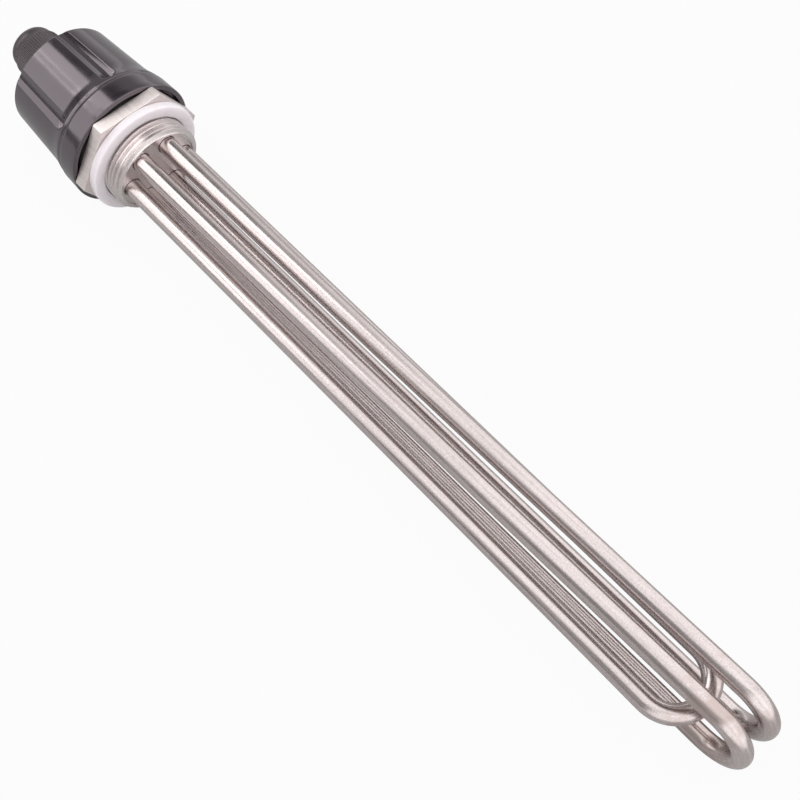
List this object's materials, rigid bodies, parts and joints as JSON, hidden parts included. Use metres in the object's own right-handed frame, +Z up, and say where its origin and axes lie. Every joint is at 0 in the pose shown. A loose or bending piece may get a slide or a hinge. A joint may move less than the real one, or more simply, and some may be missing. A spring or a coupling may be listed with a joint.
{
  "type": "screw plug immersion heater",
  "caption": "Bent metal sheathed heating tubes on a threaded hexagon plug with a soft tank gasket, a grooved screw-on terminal cover and a cable gland.",
  "frame": {"origin": "on the heater's axis, in the plane where the gasket seats on the front of the hexagon", "axes": "+X along the axis toward the tube tips, so the cable gland points to -X; +Z up, square to the hexagon's upper flat; +Y completes the frame"},
  "size_m": [0.4253, 0.0598, 0.0596],
  "materials": {
    "steel": "turned and brushed stainless",
    "tube": "drawn stainless tube",
    "silicone": "translucent white",
    "cover_plastic": "glossy moulded",
    "gland_plastic": "satin moulded",
    "rubber": "matt",
    "ceramic": "glazed",
    "brass": "plated"
  },
  "bodies": {
    "plug_and_tubes": {"plug": "steel", "tank_gasket": "silicone", "element_1": "tube", "element_2": "tube", "element_3": "tube", "end_bead_1": "ceramic", "terminal_stud_1": "steel", "lower_nut_1": "brass", "upper_nut_1": "brass", "end_bead_2": "ceramic", "terminal_stud_2": "steel", "lower_nut_2": "brass", "upper_nut_2": "brass", "end_bead_3": "ceramic", "terminal_stud_3": "steel", "lower_nut_3": "brass", "upper_nut_3": "brass", "end_bead_4": "ceramic", "terminal_stud_4": "steel", "lower_nut_4": "brass", "upper_nut_4": "brass", "washer_4": "brass", "end_bead_5": "ceramic", "terminal_stud_5": "steel", "lower_nut_5": "brass", "upper_nut_5": "brass", "washer_5": "brass", "end_bead_6": "ceramic", "terminal_stud_6": "steel", "lower_nut_6": "brass", "upper_nut_6": "brass", "washer_6": "brass", "neutral_strip": "brass", "earth_stud": "steel", "earth_lower_nut": "brass", "earth_upper_nut": "brass", "earth_washer": "brass"},
    "seal": {"cover_seal": "rubber"},
    "cover_and_gland": {"cover": "cover_plastic", "gland_body": "gland_plastic", "gland_ring": "rubber", "gland_locknut": "gland_plastic"},
    "insert": {"gland_insert": "rubber"},
    "dome_nut": {"gland_nut": "gland_plastic"}
  },
  "joints": [
    {"name": "cover_lift", "type": "slide", "parent": "plug_and_tubes", "child": "seal", "axis": [-1, 0, 0], "range_m": [0, 0.095]},
    {"name": "cover_turn", "type": "hinge", "parent": "seal", "child": "cover_and_gland", "pos_m": [-0.03, 0, 0], "axis": [-1, 0, 0], "range_deg": [0, 900]},
    {"name": "gland_advance", "type": "slide", "parent": "cover_and_gland", "child": "insert", "axis": [-1, 0, 0], "range_m": [0, 0.006]},
    {"name": "gland_nut_turn", "type": "hinge", "parent": "insert", "child": "dome_nut", "pos_m": [-0.07, 0, 0], "axis": [-1, 0, 0], "range_deg": [0, 1440]}
  ],
  "couplings": [
    {"joint": "gland_nut_turn", "follows": "gland_advance", "rad_per_m": 4188.8}
  ]
}
